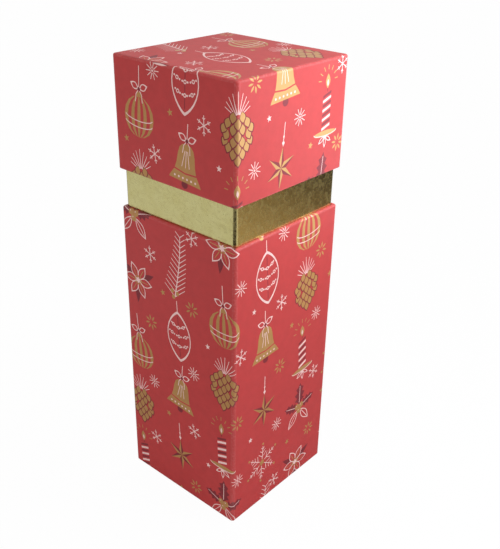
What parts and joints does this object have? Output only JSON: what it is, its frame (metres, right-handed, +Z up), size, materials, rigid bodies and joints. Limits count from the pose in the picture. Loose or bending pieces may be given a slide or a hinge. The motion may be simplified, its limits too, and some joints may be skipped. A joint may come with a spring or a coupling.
{
  "type": "wine gift box",
  "caption": "Tall square rigid paperboard gift box for one wine bottle: printed base, gold foil neck band and a lift-off lid that rests on the neck.",
  "frame": {"origin": "middle of the underside of the base, on the surface that the box stands on", "axes": "+Z up, towards the lid and along the bottle; the front wall faces -Y and the right wall faces +X"},
  "size_m": [0.1064, 0.1064, 0.325],
  "materials": {
    "printed_paper": "red coated paper printed with baubles, bells, candles, fir sprigs, stars and snowflakes in gold, white and dark red, satin",
    "gold_foil_paper": "gold metallised paper with a fine leather-like embossing",
    "greyboard": "unbleached recycled greyboard, matt",
    "gummed_tape": "plain kraft paper tape, matt",
    "lining_paper": "uncoated white paper, matt",
    "cover_paper": "uncoated white paper, matt"
  },
  "bodies": {
    "base": {"base_wall_board": "greyboard", "base_bottom_board": "greyboard", "base_seam_tape": "gummed_tape", "base_bottom_tape_front": "gummed_tape", "base_bottom_tape_right": "gummed_tape", "base_bottom_tape_back": "gummed_tape", "base_bottom_tape_left": "gummed_tape", "base_wrap": "printed_paper", "base_cover_sheet": "cover_paper", "floor_lining": "lining_paper", "neck_wall_board": "greyboard", "neck_seam_tape": "gummed_tape", "neck_foil_wrap": "gold_foil_paper", "neck_wall_lining": "lining_paper"},
    "lid": {"lid_wall_board": "greyboard", "lid_top_board": "greyboard", "lid_seam_tape": "gummed_tape", "lid_top_tape_front": "gummed_tape", "lid_top_tape_right": "gummed_tape", "lid_top_tape_back": "gummed_tape", "lid_top_tape_left": "gummed_tape", "lid_wrap": "printed_paper", "lid_wall_lining": "lining_paper", "lid_top_lining": "lining_paper"}
  },
  "joints": [
    {"name": "lid_lift", "type": "slide", "parent": "base", "child": "lid", "axis": [0, 0, 1], "range_m": [0, 0.085]}
  ]
}
